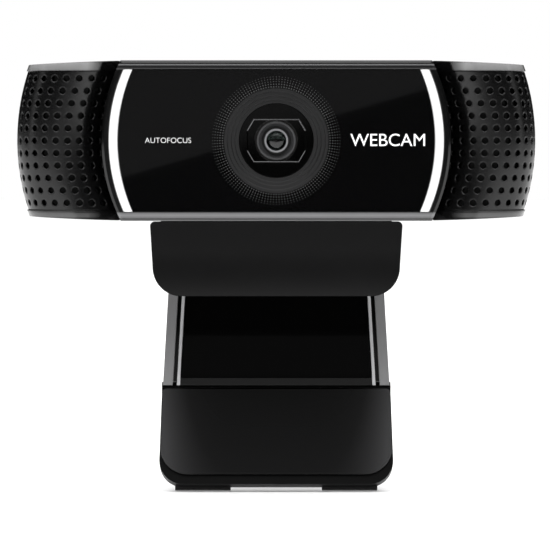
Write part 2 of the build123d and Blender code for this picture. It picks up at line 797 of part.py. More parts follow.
inlet_wall_y = back_y - back_bow_radius + math.sqrt(back_bow_radius**2 - inlet_x**2)
with BuildPart() as cable_inlet:
    with BuildSketch(front_plane(inlet_wall_y + 0.4)):
        with Locations((inlet_x, inlet_z - head_centre_z)):
            Circle(inlet_radius + 0.9)
    extrude(amount=-0.6)
    with BuildSketch(front_plane(inlet_wall_y + 0.5)):
        with Locations((inlet_x, inlet_z - head_centre_z)):
            Circle(inlet_radius)
    extrude(amount=2.6)
    with BuildSketch(front_plane(inlet_wall_y + 3)):
        with Locations((inlet_x, inlet_z - head_centre_z)):
            Circle(cable_bore_radius)
    extrude(amount=8, mode=Mode.SUBTRACT)
save(cable_inlet.part, "cable_inlet")

# ---------------------------------------------------------------- head: tilt bracket
bracket_bar_thickness = 1.3
bracket_bar_depth = 6.0
inner_lug_x = knuckle_x - lug_width / 2
outer_lug_x = knuckle_x + lug_width / 2
with BuildPart() as tilt_bracket:
    bar_half = outer_lug_x
    with Locations((0, tilt_y, bracket_bar_z)):
        bar_align = (Align.CENTER, Align.CENTER, Align.MIN)
        Box(2 * bar_half, bracket_bar_depth, bracket_bar_thickness, align=bar_align)
    for side in (-1, 1):
        x_low = min(side * inner_lug_x, side * outer_lug_x)
        add(across(knuckle_radius, x_low, x_low + lug_width, tilt_y, tilt_z))
        with Locations((x_low, tilt_y, tilt_z)):
            Box(
                lug_width,
                2 * knuckle_radius,
                bracket_bar_z + 0.5 - tilt_z,
                align=(Align.MIN, Align.CENTER, Align.MIN),
            )
    add(across(tilt_pin_radius + running_gap, -bar_half, bar_half, tilt_y, tilt_z), mode=Mode.SUBTRACT)
    with BuildSketch(Plane.XY.offset(bracket_bar_z)):
        with GridLocations(2 * bracket_post_x, 1, 2, 1):
            with Locations((0, tilt_y)):
                Circle(screw_shank_radius + 0.1)
    extrude(amount=bracket_bar_thickness, mode=Mode.SUBTRACT)
save(tilt_bracket.part, "tilt_bracket")

with BuildPart() as bracket_screws:
    bar_top_z = bracket_bar_z + bracket_bar_thickness
    for side in (-1, 1):
        with BuildSketch(Plane.XY.offset(bar_top_z)):
            with Locations((side * bracket_post_x, tilt_y)):
                Circle(screw_head_radius)
        extrude(amount=0.7)
        with BuildSketch(Plane.XY.offset(bar_top_z)):
            with Locations((side * bracket_post_x, tilt_y)):
                Circle(screw_shank_radius)
        extrude(amount=-3.2)
save(bracket_screws.part, "bracket_screws")

# ---------------------------------------------------------------- clip: plate with lip, ears and knuckles
plate_bottom_z = 0.3
plate_top_z = plate_bottom_z + plate_thickness
lip_top_z = head_centre_z - half_height - lip_head_gap
lip_straight_z = -1.0
lip_back_y = lip_front_y + lip_thickness
liner_front_y = lip_back_y + lip_pad_thickness + 0.3
liner_back_y = plate_back_y - 1.0
ear_inner = (inner_lug_x - washer_thickness - ear_width, inner_lug_x - washer_thickness)
ear_outer = (outer_lug_x + washer_thickness, outer_lug_x + washer_thickness + ear_width)
middle_knuckle = arm_barrel_inner - hinge_side_gap
end_knuckle_from = arm_barrel_outer + hinge_side_gap
end_knuckle_to = end_knuckle_from + 4.5
side_plane = Plane(origin=(0, 0, 0), x_dir=(0, 1, 0), z_dir=(1, 0, 0))


def lip_strip(y_near, y_far, z_high, z_low, half_width):
    """A strip that follows the lip's flare between two depths and two heights."""
    foot_y = -lip_flare
    with BuildPart() as strip:
        with BuildSketch(side_plane):
            with BuildLine():
                near = Line((y_near, z_high), (y_near, lip_straight_z))
                near_ends = [(y_near, lip_straight_z), (y_near + foot_y, lip_bottom_z)]
                near_flare = TangentArc(*near_ends, tangent=(0, -1))
                Line(near_flare @ 1, (y_far + foot_y, lip_bottom_z))
                far_ends = [(y_far, lip_straight_z), (y_far + foot_y, lip_bottom_z)]
                far_flare = TangentArc(*far_ends, tangent=(0, -1))
                far = Line((y_far, z_high), (y_far, lip_straight_z))
                Line(near @ 0, far @ 0)
            make_face()
        extrude(amount=half_width, both=True)
        with Locations((0, (y_near + y_far) / 2 + foot_y / 2, z_low)):
            Box(2 * half_width, 12, 20, align=(Align.CENTER, Align.CENTER, Align.MIN), mode=Mode.INTERSECT)
    return strip.part


with BuildPart() as clip_plate:
    with BuildSketch(Plane.XY.offset(plate_bottom_z)):
        with Locations((0, (lip_front_y + 0.5 + plate_back_y) / 2)):
            Rectangle(plate_width, plate_back_y - lip_front_y - 0.5)
    extrude(amount=plate_thickness)
    fillet(clip_plate.edges().filter_by(Axis.Z).sort_by(Axis.Y)[-2:], radius=2.0)
    add(lip_strip(lip_front_y, lip_back_y, lip_top_z, lip_bottom_z, lip_width_top / 2))
    ahead_of_lip = Plane(origin=(0, lip_front_y - 4, 0), x_dir=(1, 0, 0), z_dir=(0, -1, 0))
    with BuildSketch(ahead_of_lip) as lip_outline:
        with BuildLine():
            Polyline(
                (-lip_width_top / 2, lip_top_z),
                (lip_width_top / 2, lip_top_z),
                (lip_width_bottom / 2, lip_bottom_z),
                (-lip_width_bottom / 2, lip_bottom_z),
                close=True,
            )
        make_face()
        fillet(lip_outline.vertices().sort_by(Axis.Y)[:2], radius=lip_corner_radius)
        fillet(lip_outline.vertices().sort_by(Axis.Y)[-2:], radius=0.8)
        with Locations((0, plate_bottom_z)):
            Rectangle(plate_width, plate_thickness, align=(Align.CENTER, Align.MIN))
    extrude(amount=-30, mode=Mode.INTERSECT)
    # Rib behind the lip's top that closes the view under the head.
    with Locations((0, lip_back_y, plate_top_z - 0.2)):
        Box(
            plate_width,
            1.6,
            lip_top_z + 0.15 - plate_top_z + 0.2,
            align=(Align.CENTER, Align.MIN, Align.MIN),
        )
    # Ears for the tilt hinge.
    for x_low, x_high in (ear_inner, ear_outer):
        for side in (-1, 1):
            x_start = min(side * x_low, side * x_high)
            add(across(knuckle_radius, x_start, x_start + ear_width, tilt_y, tilt_z))
            with Locations((x_start, tilt_y, plate_top_z - 0.2)):
                Box(
                    ear_width,
                    2 * knuckle_radius,
                    tilt_z - plate_top_z + 0.2,
                    align=(Align.MIN, Align.CENTER, Align.MIN),
                )
    # Hollows in the plate under the bracket's lugs.
    for side in (-1, 1):
        hollow_low = side * knuckle_x - lug_slot_half
        hollow_high = hollow_low + 2 * lug_slot_half
        lug_hollow = across(knuckle_radius + 0.3, hollow_low, hollow_high, tilt_y, tilt_z)
        add(lug_hollow, mode=Mode.SUBTRACT)
    # Knuckles for the arm, webbed back to the plate.
    for x_low, x_high in (
        (-end_knuckle_to, -end_knuckle_from),
        (-middle_knuckle, middle_knuckle),
        (end_knuckle_from, end_knuckle_to),
    ):
        add(across(arm_knuckle_radius, x_low, x_high, arm_pivot_y, arm_pivot_z))
        with Locations((x_low, plate_back_y - 1.0, plate_bottom_z)):
            Box(
                x_high - x_low,
                arm_pivot_y - plate_back_y + 1.0,
                plate_thickness,
                align=(Align.MIN, Align.MIN, Align.MIN),
            )
    # Boss for the tripod insert, and a shallow bed for the liner.
    with BuildSketch(Plane.XY.offset(plate_bottom_z)):
        Circle(insert_radius + socket_wall)
    extrude(amount=thread_length + 0.6 - plate_bottom_z)
    with BuildSketch(Plane.XY):
        Circle(insert_radius)
    extrude(amount=thread_length, mode=Mode.SUBTRACT)
    with BuildSketch(Plane.XY.offset(plate_bottom_z)):
        with Locations((0, (liner_front_y + liner_back_y) / 2)):
            RectangleRounded(plate_width - 2 * liner_margin, liner_back_y - liner_front_y, 1.5)
    extrude(amount=liner_thickness - plate_bottom_z, mode=Mode.SUBTRACT)
    add(across(tilt_pin_radius, -20, 20, tilt_y, tilt_z), mode=Mode.SUBTRACT)
    add(across(arm_pin_radius, -20, 20, arm_pivot_y, arm_pivot_z), mode=Mode.SUBTRACT)
save(clip_plate.part, "clip_plate")

with BuildPart() as clip_liner:
    with BuildSketch(Plane.XY):
        with Locations((0, (liner_front_y + liner_back_y) / 2)):
            RectangleRounded(plate_width - 2 * liner_margin, liner_back_y - liner_front_y, 1.5)
        Circle(insert_flange_radius + gap, mode=Mode.SUBTRACT)
    extrude(amount=liner_thickness)
save(clip_liner.part, "clip_liner")

lip_pad_form = lip_strip(
    lip_back_y,
    lip_back_y + lip_pad_thickness,
    lip_straight_z + 0.8,
    lip_bottom_z + 1.4,
    lip_pad_half_width,
)
save(lip_pad_form, "lip_pad")

with BuildPart() as tripod_insert:
    with BuildSketch(Plane.XY):
        Circle(insert_flange_radius)
    extrude(amount=insert_flange)
    with BuildSketch(Plane.XY):
        Circle(insert_radius)
    extrude(amount=thread_length)
    with BuildSketch(Plane.XY):
        Circle(thread_bore_radius)
    extrude(amount=thread_length, mode=Mode.SUBTRACT)
save(tripod_insert.part, "tripod_insert")

pin_right = across(tilt_pin_radius, ear_inner[0], ear_outer[1], tilt_y, tilt_z)
save(both_sides(pin_right), "tilt_pins")

with BuildPart() as tilt_washers:
    for x_from in (ear_inner[1], ear_outer[0] - washer_thickness + 0.04):
        add(across(1.8, x_from, x_from + washer_thickness - 0.04, tilt_y, tilt_z))
    add(across(tilt_pin_radius, ear_inner[0], ear_outer[1], tilt_y, tilt_z), mode=Mode.SUBTRACT)
save(both_sides(tilt_washers.part), "tilt_washers")

save(across(arm_pin_radius, -end_knuckle_to, end_knuckle_to, arm_pivot_y, arm_pivot_z), "arm_pin")

# ---------------------------------------------------------------- arm
arm_lean_rad = math.radians(arm_lean)
arm_plane = Plane(
    origin=(0, arm_pivot_y, arm_pivot_z),
    x_dir=(1, 0, 0),
    z_dir=(0, -math.cos(arm_lean_rad), math.sin(arm_lean_rad)),
)
foot_pivot_y = arm_pivot_y - arm_length * math.sin(arm_lean_rad)
foot_pivot_z = arm_pivot_z - arm_length * math.cos(arm_lean_rad)


def tapered(y_high, y_low, inset, corner):
    """The arm's tapering front outline between two heights, drawn in by inset at the sides."""
    slope = (arm_width_bottom - arm_width_top) / 2 / arm_length
    half_high = arm_width_top / 2 - slope * y_high - inset
    half_low = arm_width_top / 2 - slope * y_low - inset
    with BuildSketch(mode=Mode.PRIVATE) as shape:
        with BuildLine():
            corners = [(-half_high, y_high), (half_high, y_high), (half_low, y_low), (-half_low, y_low)]
            Polyline(*corners, close=True)
        make_face()
        if corner:
            fillet(shape.vertices(), radius=corner)
    return shape.sketch


blade_top = -arm_head_clearance
panel_top = blade_top - 1.6
panel_bottom = -arm_length + 2.7
panel_inset = rail_width + groove_width + rim_width
with BuildPart() as arm_frame:
    with BuildSketch(arm_plane.offset(-arm_back)):
        add(tapered(blade_top, -arm_length, 0, 0))
    extrude(amount=arm_front + arm_back)
    front_edges = arm_frame.faces().sort_by(Axis.Y)[0].edges().filter_by(GeomType.LINE)
    fillet(front_edges.group_by(Axis.Z)[1], radius=0.6)
    # Groove between the side rails and the panel's rim, and the panel's pocket.
    with BuildSketch(arm_plane.offset(arm_front)):
        add(tapered(panel_top + 0.9, -arm_length, rail_width, 0))
        add(tapered(panel_top + 0.3, -arm_length, rail_width + groove_width, 0), mode=Mode.SUBTRACT)
    extrude(amount=-groove_depth, mode=Mode.SUBTRACT)
    with BuildSketch(arm_plane.offset(arm_front)):
        add(tapered(panel_top, panel_bottom, panel_inset, 0.5))
    extrude(amount=-(panel_recess + panel_thickness), mode=Mode.SUBTRACT)
    add(across(foot_clearance_radius, -30, 30, foot_pivot_y, foot_pivot_z), mode=Mode.SUBTRACT)
    # Barrels round the upper pin, and lugs on the lower one.
    for side in (-1, 1):
        barrel_low = min(side * arm_barrel_inner, side * arm_barrel_outer)
        barrel_width = arm_barrel_outer - arm_barrel_inner
        add(across(arm_knuckle_radius, barrel_low, barrel_low + barrel_width, arm_pivot_y, arm_pivot_z))
        with BuildSketch(arm_plane.offset(-arm_back)):
            with Locations((barrel_low + barrel_width / 2, 0)):
                Rectangle(barrel_width, -blade_top + 0.3, align=(Align.CENTER, Align.MAX))
        extrude(amount=arm_back + arm_knuckle_radius - 0.1)
        lug_low = side * lug_x - foot_lug_width / 2
        add(across(foot_lug_radius, lug_low, lug_low + foot_lug_width, foot_pivot_y, foot_pivot_z))
        with BuildSketch(arm_plane.offset(-1.2)):
            with Locations((side * lug_x, -arm_length)):
                Rectangle(foot_lug_width, foot_clearance_radius + 0.4, align=(Align.CENTER, Align.MIN))
        extrude(amount=1.5)
    add(across(arm_pin_radius + running_gap, -20, 20, arm_pivot_y, arm_pivot_z), mode=Mode.SUBTRACT)
    add(across(foot_pin_radius + running_gap, -20, 20, foot_pivot_y, foot_pivot_z), mode=Mode.SUBTRACT)
save(arm_frame.part, "arm_frame")

with BuildPart() as arm_panel:
    with BuildSketch(arm_plane.offset(arm_front - panel_recess)):
        add(tapered(panel_top - gap, panel_bottom + gap, panel_inset + gap, 0.4))
    extrude(amount=-panel_thickness)
save(arm_panel.part, "arm_panel")

# ---------------------------------------------------------------- foot
foot_lean_rad = math.radians(foot_lean)
foot_plane = Plane(
    origin=(0, foot_pivot_y, foot_pivot_z),
    x_dir=(1, 0, 0),
    z_dir=(0, -math.cos(foot_lean_rad), math.sin(foot_lean_rad)),
)
shell_front = 1.65
shell_floor = -0.3
foot_screw_x = 12.0
foot_screw_y = -11.5


def foot_outline(y_high, y_low, inset, corner):
    """The foot's front outline: square at the top, round-cornered at the bottom."""
    half_high = foot_width_top / 2 - inset
    half_low = foot_width_bottom / 2 - inset
    with BuildSketch(mode=Mode.PRIVATE) as shape:
        with BuildLine():
            corners = [(-half_high, y_high), (half_high, y_high), (half_low, y_low), (-half_low, y_low)]
            Polyline(*corners, close=True)
        make_face()
        fillet(shape.vertices().sort_by(Axis.Y)[:2], radius=corner)
        if y_high > 0:
            fillet(shape.vertices().sort_by(Axis.Y)[-2:], radius=0.8)
    return shape.sketch


pin_half = foot_width_top / 2 - 1.2
with BuildPart() as foot_shell:
    with BuildSketch(foot_plane.offset(-foot_back)):
        add(foot_outline(0, -foot_length, 0, foot_corner_radius))
    extrude(amount=foot_back + shell_front)
    back_edges = foot_shell.faces().sort_by(Axis.Y)[-1].outer_wire().edges()
    chamfer(back_edges.sort_by(Axis.Z)[:-1], length=0.5)
    foot_half = foot_width_top / 2
    add(across(foot_barrel_radius, -foot_half, foot_half, foot_pivot_y, foot_pivot_z))
    # The barrel's front is cut back where the grip pad lies over it.
    with BuildSketch(foot_plane.offset(shell_front)):
        with Locations((0, cover_rise + gap)):
            Rectangle(foot_width_top + 4, foot_length, align=(Align.CENTER, Align.MAX))
    extrude(amount=foot_barrel_radius, mode=Mode.SUBTRACT)
    with BuildSketch(foot_plane.offset(shell_front)):
        add(foot_outline(-3.6, -foot_length + 2.6, 2.0, foot_corner_radius - 2.0))
    extrude(amount=-(shell_front - shell_floor), mode=Mode.SUBTRACT)
    with BuildSketch(foot_plane.offset(shell_floor)):
        with GridLocations(2 * foot_screw_x, 1, 2, 1):
            with Locations((0, foot_screw_y)):
                Circle(2.0)
    extrude(amount=0.6)
    with BuildSketch(foot_plane.offset(-foot_back)):
        with GridLocations(2 * foot_screw_x, 1, 2, 1):
            with Locations((0, foot_screw_y)):
                Circle(0.75)
    extrude(amount=3, mode=Mode.SUBTRACT)
    with BuildSketch(foot_plane.offset(-foot_back)):
        with GridLocations(2 * foot_screw_x, 1, 2, 1):
            with Locations((0, foot_screw_y)):
                Circle(1.45)
    extrude(amount=0.8, mode=Mode.SUBTRACT)
    # Slots for the arm's lugs, and beds for the two heel strips.
    for side in (-1, 1):
        with BuildSketch(foot_plane.offset(-4)):
            with Locations((side * lug_x, -foot_lug_radius - 0.3)):
                Rectangle(foot_lug_width + 0.4, 6, align=(Align.CENTER, Align.MIN))
        extrude(amount=4 + shell_front, mode=Mode.SUBTRACT)
        with BuildSketch(foot_plane.offset(-foot_back)):
            with Locations((side * pad_pitch / 2, -foot_length)):
                Rectangle(pad_width, 2 * (pad_height - 2 * pad_stand_out))
        extrude(amount=pad_thickness - pad_stand_out, mode=Mode.SUBTRACT)
    add(across(foot_pin_radius, -pin_half, pin_half, foot_pivot_y, foot_pivot_z), mode=Mode.SUBTRACT)
save(foot_shell.part, "foot_shell")

save(across(foot_pin_radius, -pin_half, pin_half, foot_pivot_y, foot_pivot_z), "foot_pin")

with BuildPart() as grip_pad:
    with BuildSketch(foot_plane.offset(shell_front)):
        cover_bottom = -foot_length + cover_margin_bottom
        add(foot_outline(cover_rise, cover_bottom, cover_margin_side, cover_corner_radius - 1.5))
    extrude(amount=cover_thickness)
    chamfer(grip_pad.faces().sort_by(Axis.Y)[0].outer_wire().edges(), length=0.25)
    with BuildSketch(foot_plane.offset(shell_front)):
        with GridLocations(2 * foot_screw_x, 1, 2, 1):
            with Locations((0, foot_screw_y)):
                Circle(1.6)
    extrude(amount=-(shell_front - shell_floor - 0.6))
    with BuildSketch(foot_plane.offset(shell_floor + 0.6)):
        with GridLocations(2 * foot_screw_x, 1, 2, 1):
            with Locations((0, foot_screw_y)):
                Circle(0.6)
    extrude(amount=1.5, mode=Mode.SUBTRACT)
save(grip_pad.part, "grip_pad")

with BuildPart() as foot_heels:
    for side in (-1, 1):
        with BuildSketch(foot_plane.offset(-foot_back - pad_stand_out)):
            with Locations((side * pad_pitch / 2, -foot_length - pad_stand_out)):
                Rectangle(pad_width, pad_height - pad_stand_out, align=(Align.CENTER, Align.MIN))
        extrude(amount=pad_thickness)
save(foot_heels.part, "foot_heels")

with BuildPart() as foot_screws:
    for side in (-1, 1):
        with BuildSketch(foot_plane.offset(-foot_back + 0.1)):
            with Locations((side * foot_screw_x, foot_screw_y)):
                Circle(1.35)
        extrude(amount=0.7)
        with BuildSketch(foot_plane.offset(-foot_back + 0.8)):
            with Locations((side * foot_screw_x, foot_screw_y)):
                Circle(0.6)
        extrude(amount=2.2)
save(foot_screws.part, "foot_screws")
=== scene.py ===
import math

import bpy
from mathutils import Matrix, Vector


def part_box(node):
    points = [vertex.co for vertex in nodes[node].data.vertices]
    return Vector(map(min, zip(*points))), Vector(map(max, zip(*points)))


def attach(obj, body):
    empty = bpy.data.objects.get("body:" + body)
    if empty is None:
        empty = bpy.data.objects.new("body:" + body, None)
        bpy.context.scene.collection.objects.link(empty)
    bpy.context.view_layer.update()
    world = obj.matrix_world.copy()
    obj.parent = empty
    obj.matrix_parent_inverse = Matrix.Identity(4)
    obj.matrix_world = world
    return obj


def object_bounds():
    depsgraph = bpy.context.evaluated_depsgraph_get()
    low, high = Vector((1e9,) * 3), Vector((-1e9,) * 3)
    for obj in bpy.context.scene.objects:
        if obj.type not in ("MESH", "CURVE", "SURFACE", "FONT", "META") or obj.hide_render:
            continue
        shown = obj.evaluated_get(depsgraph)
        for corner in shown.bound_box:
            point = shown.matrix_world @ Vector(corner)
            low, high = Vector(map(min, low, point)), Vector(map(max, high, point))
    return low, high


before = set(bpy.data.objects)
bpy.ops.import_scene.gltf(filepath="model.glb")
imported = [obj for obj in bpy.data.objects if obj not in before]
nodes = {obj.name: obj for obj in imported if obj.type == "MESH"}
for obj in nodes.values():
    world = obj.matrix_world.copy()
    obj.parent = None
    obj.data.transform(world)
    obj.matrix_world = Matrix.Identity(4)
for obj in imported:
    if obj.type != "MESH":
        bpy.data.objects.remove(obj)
cad_low, cad_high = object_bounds()

# ---------------------------------------------------------------- where it is seen from
# A long lens level with the camera's own eye, square on to the front, with the whole clip in view.
# It stands well back, so the head and the foot show with little perspective.
eye_height = 0.0192
eye_aside = -0.00023
standing_off = 0.615
seen_down_to = -0.0049
front_of_head = -0.015

eye = bpy.data.cameras.new("viewpoint")
eye.lens = 218.9
eye.sensor_width = 36.0
eye.clip_start = 0.01
eye.dof.use_dof = False
viewpoint = bpy.data.objects.new("viewpoint", eye)
bpy.context.scene.collection.objects.link(viewpoint)
viewpoint.location = (eye_aside, -standing_off, eye_height)
drop = math.atan((eye_height - seen_down_to) / (standing_off + front_of_head))
viewpoint.rotation_euler = (math.pi / 2 - drop, 0, 0)
bpy.context.scene.camera = viewpoint
bpy.context.scene.view_settings.view_transform = "Standard"

# ---------------------------------------------------------------- studio floor
# A pale painted floor that runs out of sight, close under the lowest point of the foot. It is lit a
# little from within, so that it fades into the white room.
floor_half = 3.0
floor_near = 1.3
floor_gap = 0.00002
floor_mesh = bpy.data.meshes.new("studio_floor")
floor_mesh.from_pydata(
    [
        (-floor_half, -floor_near, 0),
        (floor_half, -floor_near, 0),
        (floor_half, floor_half, 0),
        (-floor_half, floor_half, 0),
    ],
    [],
    [(0, 1, 2, 3)],
)
studio_floor = bpy.data.objects.new("studio_floor", floor_mesh)
bpy.context.scene.collection.objects.link(studio_floor)
studio_floor.location = (0, 0, cad_low[2] - floor_gap)

pale = bpy.data.materials.new("studio_floor_paint")
pale.use_nodes = True
pale_shader = pale.node_tree.nodes["Principled BSDF"]
pale_shader.inputs["Roughness"].default_value = 0.8
pale_shader.inputs["Specular IOR Level"].default_value = 0.1
pale_shader.inputs["Emission Color"].default_value = (1, 1, 1, 1)
pale_shader.inputs["Emission Strength"].default_value = 0.15
pale_mottle = pale.node_tree.nodes.new("ShaderNodeTexNoise")
pale_mottle.inputs["Scale"].default_value = 3.0
pale_tone = pale.node_tree.nodes.new("ShaderNodeValToRGB")
pale_tone.color_ramp.elements[0].color = (0.90, 0.90, 0.90, 1)
pale_tone.color_ramp.elements[1].color = (0.93, 0.93, 0.93, 1)
pale.node_tree.links.new(pale_mottle.outputs["Fac"], pale_tone.inputs["Fac"])
pale.node_tree.links.new(pale_tone.outputs["Color"], pale_shader.inputs["Base Color"])
floor_mesh.materials.append(pale)

# ---------------------------------------------------------------- studio lights
# One broad light overhead, one high in front, a narrow softbox either side, and a faint card behind
# the viewer whose slanted edge shows in the polished window.


def softbox(name, place, aim, width, height, power, roll=0.0):
    """A rectangular soft light at a place, facing a point."""
    lamp = bpy.data.lights.new(name, "AREA")
    lamp.shape = "RECTANGLE"
    lamp.size = width
    lamp.size_y = height
    lamp.energy = power
    box = bpy.data.objects.new(name, lamp)
    bpy.context.scene.collection.objects.link(box)
    box.location = place
    facing = (Vector(aim) - Vector(place)).to_track_quat("-Z", "Y")
    box.rotation_euler = facing.to_euler()
    if roll:
        box.rotation_euler.rotate_axis("Z", roll)


softbox("overhead_light", (0, -0.05, 1.1), (0, 0, 0), width=1.7, height=1.3, power=12)
softbox("front_top_light", (0, -0.66, 0.93), (0, 0, 0), width=1.6, height=0.42, power=4)
for side_name, side in (("left_light", -1), ("right_light", 1)):
    softbox(side_name, (side * 0.95, -0.12, 0.12), (0, 0, 0), width=0.15, height=0.8, power=0.35)

card_turn = math.radians(16.2)
card_half = 0.2
card_away = 1.215
card_edge_x = 0.0035
card_edge_z = eye_height + 0.0052
card_x = card_edge_x - card_half * math.sin(card_turn)
card_z = card_edge_z + card_half * math.cos(card_turn)
softbox(
    "window_card",
    (card_x, -card_away, card_z),
    (card_x, 0, card_z),
    width=0.8,
    height=2 * card_half,
    power=0.16,
    roll=card_turn,
)

# ---------------------------------------------------------------- studio room
# A dome of soft light, dark round the horizon and bright overhead, that the polished pieces reflect.
# Seen directly it is plain white.
room = bpy.data.worlds.new("studio_room")
bpy.context.scene.world = room
room.use_nodes = True
room_nodes = room.node_tree.nodes
room_links = room.node_tree.links
room_direction = room_nodes.new("ShaderNodeTexCoord")
room_parts = room_nodes.new("ShaderNodeSeparateXYZ")
room_tone = room_nodes.new("ShaderNodeValToRGB")
room_tone.color_ramp.elements[0].position = 0.36
room_tone.color_ramp.elements[0].color = (0.012, 0.012, 0.012, 1)
room_tone.color_ramp.elements[1].position = 0.66
room_tone.color_ramp.elements[1].color = (1.35, 1.35, 1.35, 1)
seen_directly = room_nodes.new("ShaderNodeLightPath")
room_choice = room_nodes.new("ShaderNodeMix")
room_choice.data_type = "RGBA"
room_factor, room_lit, room_white = (room_choice.inputs[slot] for slot in (0, 6, 7))
room_white.default_value = (1.0, 1.0, 1.0, 1)
room_links.new(room_direction.outputs["Generated"], room_parts.inputs["Vector"])
room_links.new(room_parts.outputs["Z"], room_tone.inputs["Fac"])
room_links.new(seen_directly.outputs["Is Camera Ray"], room_factor)
room_links.new(room_tone.outputs["Color"], room_lit)
room_links.new(room_choice.outputs[2], room_nodes["Background"].inputs["Color"])

# ---------------------------------------------------------------- clip plate and its front lip
# One moulding in glass-filled nylon, spark-eroded to a fine matt grain. Its lip hangs over the
# screen's bezel and flares forward at the bottom; ears on top and knuckles behind take the pins.


def finish(name, colour, roughness, grain, depth, spread=0.05, metal=0.0, edge=0.00012, **sockets):
    """A solid finish with its own grain: grain size and depth in metres, and softened edges."""
    material = bpy.data.materials.new(name)
    material.use_nodes = True
    tree = material.node_tree
    shader = tree.nodes["Principled BSDF"]
    shader.inputs["Metallic"].default_value = metal
    for socket, value in sockets.items():
        shader.inputs[socket.replace("_", " ")].default_value = value
    place = tree.nodes.new("ShaderNodeTexCoord")
    mottle = tree.nodes.new("ShaderNodeTexNoise")
    mottle.inputs["Scale"].default_value = 1 / (grain * 30)
    mottle.inputs["Detail"].default_value = 4
    tone = tree.nodes.new("ShaderNodeValToRGB")
    tone.color_ramp.elements[0].position = 0.35
    tone.color_ramp.elements[1].position = 0.65
    tone.color_ramp.elements[0].color = (*[c * (1 - spread) for c in colour], 1)
    tone.color_ramp.elements[1].color = (*[c * (1 + spread) for c in colour], 1)
    polish = tree.nodes.new("ShaderNodeMapRange")
    polish.inputs["To Min"].default_value = max(0.02, roughness * (1 - spread))
    polish.inputs["To Max"].default_value = min(1.0, roughness * (1 + spread))
    fine = tree.nodes.new("ShaderNodeTexNoise")
    fine.inputs["Scale"].default_value = 1 / grain
    fine.inputs["Detail"].default_value = 3
    bump = tree.nodes.new("ShaderNodeBump")
    bump.inputs["Strength"].default_value = 1.0
    bump.inputs["Distance"].default_value = depth
    soft_edge = tree.nodes.new("ShaderNodeBevel")
    soft_edge.samples = 4
    soft_edge.inputs["Radius"].default_value = edge
    links = tree.links
    links.new(place.outputs["Object"], mottle.inputs["Vector"])
    links.new(place.outputs["Object"], fine.inputs["Vector"])
    links.new(mottle.outputs["Fac"], tone.inputs["Fac"])
    links.new(mottle.outputs["Fac"], polish.inputs["Value"])
    links.new(tone.outputs["Color"], shader.inputs["Base Color"])
    links.new(polish.outputs["Result"], shader.inputs["Roughness"])
    links.new(fine.outputs["Fac"], bump.inputs["Height"])
    links.new(soft_edge.outputs["Normal"], bump.inputs["Normal"])
    links.new(bump.outputs["Normal"], shader.inputs["Normal"])
    return material


def coat(material, *names):
    """Gives carried-over pieces their finish."""
    for name in names:
        nodes[name].data.materials.clear()
        nodes[name].data.materials.append(material)


matt_nylon = finish(
    "matt_nylon", (0.0035, 0.0035, 0.0036), roughness=0.42, grain=0.00022, depth=0.000006,
    edge=0.0002, Specular_IOR_Level=0.14,
)
coat(matt_nylon, "clip_plate")

# ---------------------------------------------------------------- rubber liners of the clip
# Two moulded rubber pads, bonded under the plate and behind the lip, that keep the clip from
# slipping on the screen's edge and from marking it.
liner_rubber = finish("liner_rubber", (0.025, 0.025, 0.025), roughness=0.75, grain=0.00015, depth=0.000012)
coat(liner_rubber, "clip_liner", "lip_pad")

# ---------------------------------------------------------------- tripod insert
# A turned brass bush, moulded into the plate, that takes the standard tripod screw. It is left
# bright from the lathe.
insert_brass = finish(
    "insert_brass", (0.62, 0.45, 0.2), roughness=0.3, grain=0.0002, depth=0.000002, metal=1.0
)
coat(insert_brass, "tripod_insert")

# ---------------------------------------------------------------- hinge pins and washers
# Ground steel pins through the clip's ears and knuckles and the foot's, with plain washers that
# hold the head's tilt by friction.
pin_steel = finish("pin_steel", (0.5, 0.5, 0.52), roughness=0.28, grain=0.0002, depth=0.000002, metal=1.0)
coat(pin_steel, "tilt_pins", "tilt_washers", "arm_pin", "foot_pin")

# ---------------------------------------------------------------- arm
# A moulded frame in dark grey satin plastic, with a raised rail down each side. Its tone is banded across
# each rail: a painted highlight along the inner edge, painted shade in the groove, then the grey rail. The
# rails draw together towards the foot.


def own_place(tree):
    """Where each point of a piece lies on the piece's own axes, as sockets X, Y and Z."""
    place = tree.nodes.new("ShaderNodeTexCoord")
    parts = tree.nodes.new("ShaderNodeSeparateXYZ")
    tree.links.new(place.outputs["Object"], parts.inputs["Vector"])
    return parts.outputs


def worked_out(tree, operation, *terms):
    """A sum on a material's sockets; each term is a socket or a plain number."""
    node = tree.nodes.new("ShaderNodeMath")
    node.operation = operation
    for slot, term in enumerate(terms):
        if isinstance(term, float):
            node.inputs[slot].default_value = term
        else:
            tree.links.new(term, node.inputs[slot])
    return node.outputs["Value"]


def share_between(tree, distance, start, end, full=1.0):
    """How far a distance has come from start to end, from 0 to a full share."""
    node = tree.nodes.new("ShaderNodeMapRange")
    node.inputs["From Min"].default_value = start
    node.inputs["From Max"].default_value = end
    node.inputs["To Max"].default_value = full
    tree.links.new(distance, node.inputs["Value"])
    return node.outputs["Result"]


def banded(tree, share, bands, stepped=False):
    """Tones along a share: each band has its place from 0 to 1 and its colour."""
    node = tree.nodes.new("ShaderNodeValToRGB")
    ramp = node.color_ramp
    if stepped:
        ramp.interpolation = "CONSTANT"
    (first_place, first_colour), *between, (last_place, last_colour) = bands
    ramp.elements[0].position = first_place
    ramp.elements[0].color = (*first_colour, 1)
    ramp.elements[1].position = last_place
    ramp.elements[1].color = (*last_colour, 1)
    for place, colour in between:
        ramp.elements.new(place).color = (*colour, 1)
    tree.links.new(share, node.inputs["Fac"])
    return node.outputs["Color"]


def painted(material, colour, socket="Base Color"):
    """Puts a material's worked-out tone on its shader."""
    material.node_tree.links.new(colour, material.node_tree.nodes["Principled BSDF"].inputs[socket])


